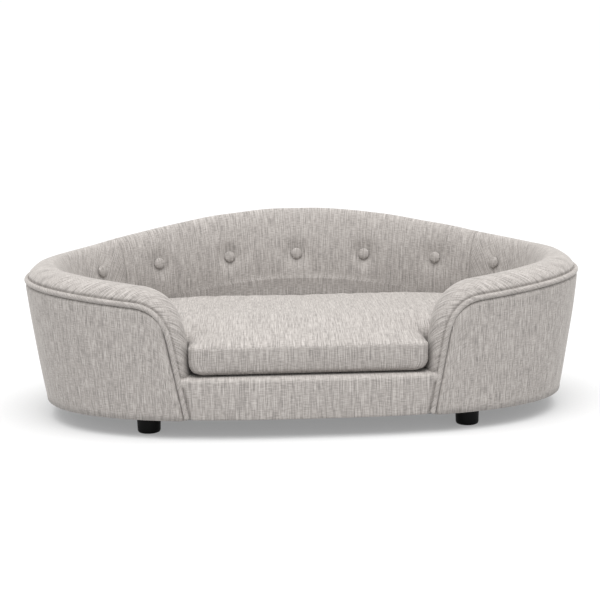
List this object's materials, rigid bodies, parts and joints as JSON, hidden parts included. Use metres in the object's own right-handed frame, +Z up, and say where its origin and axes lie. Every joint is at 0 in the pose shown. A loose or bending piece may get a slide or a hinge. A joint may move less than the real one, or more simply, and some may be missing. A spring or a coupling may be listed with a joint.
{
  "type": "pet sofa bed",
  "caption": "Oval upholstered pet sofa with a wrap-round padded back, two wings, a row of buttons, a lift-out seat cushion and low feet.",
  "frame": {"origin": "on the floor under the middle of the whole bed", "axes": "+X to the right wing seen from the front, +Y towards the back, +Z up; the open front faces -Y"},
  "size_m": [0.9783, 0.6246, 0.3264],
  "materials": {
    "foot_plastic": "moulded, satin black",
    "fastener_steel": "zinc plated",
    "plywood": "sawn plywood",
    "hardboard": "pressed hardboard, smooth face",
    "softwood": "planed pine",
    "foam": "open-cell foam",
    "lining": "non-woven polypropylene cloth",
    "cord": "twisted polyester cord",
    "zip_metal": "die-cast zinc",
    "zip_tape": "woven tape with nylon coil",
    "upholstery_fabric": "slubby linen-look weave, light warm grey"
  },
  "bodies": {
    "bed": {"arm_pad_left": "foam", "arm_pad_right": "foam", "back_pad": "foam", "base_board": "plywood", "button_1": "upholstery_fabric", "button_2": "upholstery_fabric", "button_3": "upholstery_fabric", "button_4": "upholstery_fabric", "button_5": "upholstery_fabric", "button_6": "upholstery_fabric", "button_7": "upholstery_fabric", "button_ties": "cord", "deck_bearer_front": "softwood", "deck_bearer_middle": "softwood", "deck_bearer_rear": "softwood", "deck_cover": "lining", "dust_cover": "lining", "dust_cover_staples": "fastener_steel", "foot_bolts": "fastener_steel", "foot_front_left": "foot_plastic", "foot_front_right": "foot_plastic", "foot_rear_left": "foot_plastic", "foot_rear_right": "foot_plastic", "frame_screws": "fastener_steel", "front_batten": "softwood", "front_rail": "softwood", "front_rail_cover": "upholstery_fabric", "front_rail_pad": "foam", "inner_panel": "hardboard", "inside_arm_cover_left": "upholstery_fabric", "inside_arm_cover_right": "upholstery_fabric", "inside_back_cover": "upholstery_fabric", "outer_panel": "hardboard", "outside_cover": "upholstery_fabric", "outside_wadding": "foam", "rib_back_centre": "softwood", "rib_back_left": "softwood", "rib_back_right": "softwood", "rib_corner_left": "softwood", "rib_corner_right": "softwood", "rib_side_left": "softwood", "rib_side_right": "softwood", "roll_pad_back": "foam", "roll_pad_left": "foam", "roll_pad_right": "foam", "seat_deck": "plywood", "tee_nuts": "fastener_steel", "top_rail_back": "softwood", "top_rail_left": "softwood", "top_rail_right": "softwood", "welt_cord": "cord", "welt_sleeve": "upholstery_fabric", "wing_post_left": "softwood", "wing_post_right": "softwood"},
    "cushion": {"cushion_foam": "foam", "cushion_cover": "upholstery_fabric", "cushion_zip": "zip_tape"},
    "slider": {"zip_slider": "zip_metal"},
    "pull": {"zip_pull": "zip_metal"}
  },
  "joints": [
    {"name": "cushion_lift", "type": "slide", "parent": "bed", "child": "cushion", "axis": [0, 0, 1], "range_m": [0, 0.3]},
    {"name": "zip_run", "type": "hinge", "parent": "cushion", "child": "slider", "pos_m": [0, -1.0864, 0.13], "axis": [0, 0, 1], "range_deg": [-6.3, 6.3]},
    {"name": "pull_swing", "type": "hinge", "parent": "slider", "child": "pull", "pos_m": [0, 0.2048, 0.1295], "axis": [1, 0, 0], "range_deg": [0, 18]}
  ]
}
